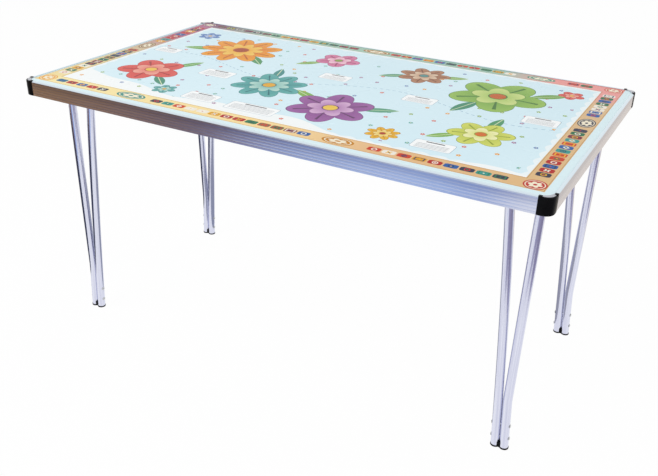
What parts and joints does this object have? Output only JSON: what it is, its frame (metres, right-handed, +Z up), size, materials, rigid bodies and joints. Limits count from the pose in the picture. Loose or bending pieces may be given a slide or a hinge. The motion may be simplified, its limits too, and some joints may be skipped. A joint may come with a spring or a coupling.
{
  "type": "folding activity table",
  "caption": "Folding table with a printed top in a grooved aluminium edge frame, black corner caps and splayed paired-tube legs that squeeze together and fold flat under the board.",
  "frame": {"origin": "on the floor under the middle of the top", "axes": "+X along the table's length, -Y towards the front long side, +Z up"},
  "size_m": [1.2216, 0.6866, 0.6358],
  "materials": {
    "printed_sheet": "glossy laminate, printed",
    "board_core": "fibreboard",
    "backing": "matte backing foil",
    "edge_rail": "satin anodised, grooved",
    "corner_key": "cast, satin",
    "leg_tube": "polished",
    "black_plastic": "satin black moulding",
    "steel_fastener": "zinc plated"
  },
  "bodies": {
    "table_top": {"core_board": "board_core", "top_sheet": "printed_sheet", "backing_sheet": "backing", "front_edge_rail": "edge_rail", "back_edge_rail": "edge_rail", "left_edge_rail": "edge_rail", "right_edge_rail": "edge_rail", "edge_rail_screws": "steel_fastener", "corner_key_screws": "steel_fastener", "corner_cap_screws": "steel_fastener", "pivot_block_screws": "steel_fastener", "keeper_screws": "steel_fastener", "clip_screws": "steel_fastener", "front_left_corner_cap": "black_plastic", "back_left_corner_cap": "black_plastic", "front_right_corner_cap": "black_plastic", "back_right_corner_cap": "black_plastic", "front_left_corner_key": "corner_key", "back_left_corner_key": "corner_key", "front_right_corner_key": "corner_key", "back_right_corner_key": "corner_key", "front_left_pivot_block": "black_plastic", "back_left_pivot_block": "black_plastic", "front_right_pivot_block": "black_plastic", "back_right_pivot_block": "black_plastic", "front_left_rail_keeper": "black_plastic", "back_left_rail_keeper": "black_plastic", "front_right_rail_keeper": "black_plastic", "back_right_rail_keeper": "black_plastic", "front_left_stow_clip": "black_plastic", "back_left_stow_clip": "black_plastic", "front_right_stow_clip": "black_plastic", "back_right_stow_clip": "black_plastic"},
    "left_leg_frame": {"front_left_inner_leg": "leg_tube", "back_left_inner_leg": "leg_tube", "front_left_lower_outer_leg": "leg_tube", "back_left_lower_outer_leg": "leg_tube", "front_left_foot": "black_plastic", "back_left_foot": "black_plastic", "left_pivot_rail": "leg_tube", "left_pivot_rail_plugs": "black_plastic", "left_foot_rivets": "steel_fastener"},
    "left_lock_frame": {"front_left_upper_outer_leg": "leg_tube", "back_left_upper_outer_leg": "leg_tube", "left_locking_rail": "leg_tube", "left_locking_rail_plugs": "black_plastic"},
    "right_leg_frame": {"front_right_inner_leg": "leg_tube", "back_right_inner_leg": "leg_tube", "front_right_lower_outer_leg": "leg_tube", "back_right_lower_outer_leg": "leg_tube", "front_right_foot": "black_plastic", "back_right_foot": "black_plastic", "right_pivot_rail": "leg_tube", "right_pivot_rail_plugs": "black_plastic", "right_foot_rivets": "steel_fastener"},
    "right_lock_frame": {"front_right_upper_outer_leg": "leg_tube", "back_right_upper_outer_leg": "leg_tube", "right_locking_rail": "leg_tube", "right_locking_rail_plugs": "black_plastic"}
  },
  "joints": [
    {"name": "right_leg_fold", "type": "hinge", "parent": "table_top", "child": "right_leg_frame", "pos_m": [0.502, 0, 0.6079], "axis": [0, 1, 0], "range_deg": [0, 94.3]},
    {"name": "left_leg_fold", "type": "hinge", "parent": "table_top", "child": "left_leg_frame", "pos_m": [-0.502, 0, 0.6079], "axis": [0, -1, 0], "range_deg": [0, 94.3]},
    {"name": "right_frame_squeeze", "type": "hinge", "parent": "right_leg_frame", "child": "right_lock_frame", "pos_m": [0.55964, 0, 0.12107], "axis": [0, -1, 0], "range_deg": [0, 4.3]},
    {"name": "left_frame_squeeze", "type": "hinge", "parent": "left_leg_frame", "child": "left_lock_frame", "pos_m": [-0.55964, 0, 0.12107], "axis": [0, 1, 0], "range_deg": [0, 4.3]}
  ],
  "couplings": [
    {"joint": "right_frame_squeeze", "follows": "right_leg_fold", "ratio": 0.045},
    {"joint": "left_frame_squeeze", "follows": "left_leg_fold", "ratio": 0.045}
  ]
}
